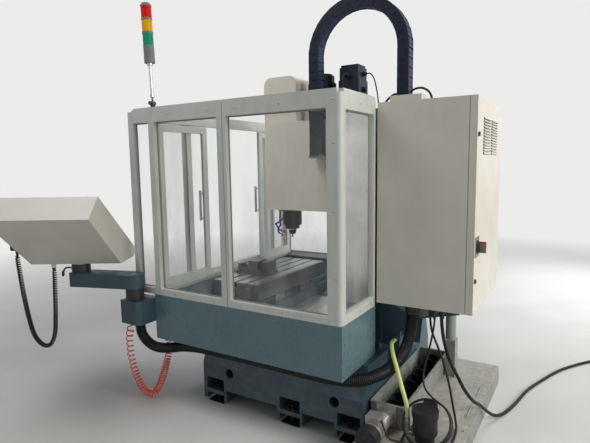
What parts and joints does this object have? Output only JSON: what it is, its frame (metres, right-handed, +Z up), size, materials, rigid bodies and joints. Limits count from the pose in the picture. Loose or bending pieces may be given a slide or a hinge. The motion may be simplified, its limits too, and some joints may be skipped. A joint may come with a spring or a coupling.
{
  "type": "vertical machining center",
  "caption": "Enclosed vertical machining center with a cross-slide table, moving spindle head, sliding doors, rear cabinet, swinging console and coolant tank.",
  "frame": {"origin": "on the floor, at the centre of the four corner foundation holes", "axes": "+X to the machine's right, +Y to its back, +Z up; the doors face -Y"},
  "size_m": [3.3962, 4.0219, 2.8426],
  "materials": {
    "cast_teal": "painted casting, dark grey-green, slightly orange-peeled",
    "pan_teal": "satin grey-teal paint on sheet steel",
    "machined_steel": "plain machined steel",
    "ground_steel": "ground bright steel",
    "motor_black": "matt black motor paint",
    "frame_grey": "satin light grey powder coat",
    "door_grey": "satin light grey powder coat with a clear pane",
    "clear_pane": "clear pane with light haze",
    "sheet_steel": "folded stainless sheet",
    "cabinet_grey": "fine textured warm grey paint",
    "drive_black": "black drive housings",
    "red_plastic": "moulded red plastic",
    "chain_black": "black moulded chain links",
    "tank_grey": "grey paint, stained by coolant",
    "motor_silver": "cast aluminium gear motor",
    "panel_black": "matt black moulded panel",
    "tower_grey": "light grey moulded plastic",
    "tower_lens": "translucent coloured lens rings",
    "cast_table": "ground cast iron",
    "cast_head": "primed casting",
    "head_cream": "cream powder coat",
    "nose_black": "blackened steel",
    "hose_blue": "blue moulded hose segments",
    "conduit_black": "ribbed black conduit",
    "hose_orange": "orange-red polyurethane tube",
    "cable_black": "black cable sheath",
    "hose_yellow": "pale yellow soft tube"
  },
  "bodies": {
    "frame": {"base_casting": "cast_teal", "leveling_pads": "machined_steel", "column_casting": "cast_teal", "guide_rails": "ground_steel", "axis_servo_motors": "motor_black", "chip_pan": "pan_teal", "right_side_frames": "frame_grey", "left_side_frames": "frame_grey", "end_frames": "frame_grey", "window_panes": "clear_pane", "splash_panels": "sheet_steel", "cabinet_bracket": "pan_teal", "cabinet_shell": "cabinet_grey", "cabinet_equipment": "drive_black", "drag_chain": "chain_black", "coolant_tank": "tank_grey", "tank_lid": "tank_grey", "tank_motors": "motor_silver", "pendant_bracket": "cast_teal", "tower_base": "panel_black", "control_conduit": "conduit_black", "air_hose": "hose_orange", "power_cable": "cable_black", "power_cable_coil": "cable_black", "power_plug": "red_plastic", "pump_cable": "cable_black", "coolant_hose": "hose_yellow"},
    "door_right": {"door_right": "door_grey"},
    "door_left": {"door_left": "door_grey"},
    "cabinet_door": {"cabinet_door": "cabinet_grey"},
    "main_switch": {"switch_handle": "red_plastic"},
    "saddle": {"saddle_casting": "cast_teal", "x_servo_motor": "motor_black", "saddle_covers": "sheet_steel"},
    "way_a": {"way_plates_a": "sheet_steel"},
    "way_b": {"way_plates_b": "sheet_steel"},
    "table": {"work_table": "cast_table", "vise_body": "cast_table"},
    "vise_jaw": {"vise_jaw": "cast_table"},
    "vise_screw": {"vise_screw": "ground_steel"},
    "head": {"head_casting": "cast_head", "head_cover": "head_cream", "spindle_motor": "motor_black", "spindle_cartridge": "nose_black", "coolant_nozzles": "hose_blue"},
    "spindle": {"spindle_shaft": "ground_steel", "tool_holder": "ground_steel"},
    "x_screw": {"x_ball_screw": "ground_steel"},
    "y_screw": {"y_ball_screw": "ground_steel"},
    "z_screw": {"z_ball_screw": "ground_steel"},
    "pendant_arm": {"pendant_arm": "cast_teal"},
    "console": {"console_housing": "cabinet_grey", "console_panel": "panel_black", "mpg_box": "panel_black", "mpg_cord": "cable_black"},
    "estop": {"estop_button": "red_plastic"},
    "override": {"override_knob": "panel_black"},
    "mpg_dial": {"mpg_dial": "ground_steel"},
    "tower": {"tower_stack": "tower_grey", "tower_lenses": "tower_lens"}
  },
  "joints": [
    {"name": "y_axis", "type": "slide", "parent": "frame", "child": "saddle", "axis": [0, 1, 0], "range_m": [-0.01, 0.385]},
    {"name": "way_cover_a", "type": "slide", "parent": "frame", "child": "way_a", "axis": [0, 1, 0], "range_m": [-0.0067, 0.257]},
    {"name": "way_cover_b", "type": "slide", "parent": "frame", "child": "way_b", "axis": [0, 1, 0], "range_m": [-0.0034, 0.1285]},
    {"name": "x_axis", "type": "slide", "parent": "saddle", "child": "table", "axis": [1, 0, 0], "range_m": [-0.3, 0.3]},
    {"name": "z_axis", "type": "slide", "parent": "frame", "child": "head", "axis": [0, 0, 1], "range_m": [-0.27, 0.23], "deforming": ["drag_chain"]},
    {"name": "spindle_spin", "type": "hinge", "parent": "head", "child": "spindle", "pos_m": [0, -0.27, 1.5], "axis": [0, 0, 1], "continuous": true},
    {"name": "x_screw_spin", "type": "hinge", "parent": "saddle", "child": "x_screw", "pos_m": [0, -0.47, 0.69], "axis": [1, 0, 0], "continuous": true},
    {"name": "y_screw_spin", "type": "hinge", "parent": "frame", "child": "y_screw", "pos_m": [0, 0, 0.545], "axis": [0, 1, 0], "continuous": true},
    {"name": "z_screw_spin", "type": "hinge", "parent": "frame", "child": "z_screw", "pos_m": [0, 0.262, 1.6], "axis": [0, 0, 1], "continuous": true},
    {"name": "vise_slide", "type": "slide", "parent": "table", "child": "vise_jaw", "axis": [0, 1, 0], "range_m": [-0.03, 0.038]},
    {"name": "vise_screw_spin", "type": "hinge", "parent": "table", "child": "vise_screw", "pos_m": [0.15, -0.52, 0.939], "axis": [0, 1, 0], "continuous": true},
    {"name": "door_right_slide", "type": "slide", "parent": "frame", "child": "door_right", "axis": [1, 0, 0], "range_m": [-0.345, 0]},
    {"name": "door_left_slide", "type": "slide", "parent": "frame", "child": "door_left", "axis": [1, 0, 0], "range_m": [0, 0.345]},
    {"name": "cabinet_door_hinge", "type": "hinge", "parent": "frame", "child": "cabinet_door", "pos_m": [-0.413, 1.16, 1.5], "axis": [0, 0, 1], "range_deg": [0, 110]},
    {"name": "main_switch_turn", "type": "hinge", "parent": "cabinet_door", "child": "main_switch", "pos_m": [0.34, 1.205, 1.25], "axis": [0, 1, 0], "range_deg": [0, 90]},
    {"name": "pendant_arm_swing", "type": "hinge", "parent": "frame", "child": "pendant_arm", "pos_m": [0.975, -1.01, 0.935], "axis": [0, 0, 1], "range_deg": [-10, 50]},
    {"name": "console_swivel", "type": "hinge", "parent": "pendant_arm", "child": "console", "pos_m": [1.11002, -1.41825, 1.04], "axis": [0, 0, 1], "range_deg": [-25, 20]},
    {"name": "estop_push", "type": "slide", "parent": "console", "child": "estop", "axis": [-0.4768, -0.2922, 0.829], "range_m": [-0.006, 0]},
    {"name": "override_turn", "type": "hinge", "parent": "console", "child": "override", "pos_m": [0.87938, -1.36021, 1.16856], "axis": [-0.4768, -0.2922, 0.829], "range_deg": [-135, 135]},
    {"name": "mpg_dial_turn", "type": "hinge", "parent": "console", "child": "mpg_dial", "pos_m": [1.47813, -1.62662, 1.243], "axis": [-0.5225, 0.8526, 0], "continuous": true},
    {"name": "tower_fold", "type": "hinge", "parent": "frame", "child": "tower", "pos_m": [0.87, -0.85, 2.178], "axis": [1, 0, 0], "range_deg": [-80, 0]}
  ],
  "couplings": [
    {"joint": "way_cover_a", "follows": "y_axis", "ratio": 0.66667},
    {"joint": "way_cover_b", "follows": "y_axis", "ratio": 0.33333},
    {"joint": "y_screw_spin", "follows": "y_axis", "rad_per_m": 628.32},
    {"joint": "x_screw_spin", "follows": "x_axis", "rad_per_m": 628.32},
    {"joint": "z_screw_spin", "follows": "z_axis", "rad_per_m": 628.32},
    {"joint": "vise_screw_spin", "follows": "vise_slide", "rad_per_m": 1256.6}
  ]
}
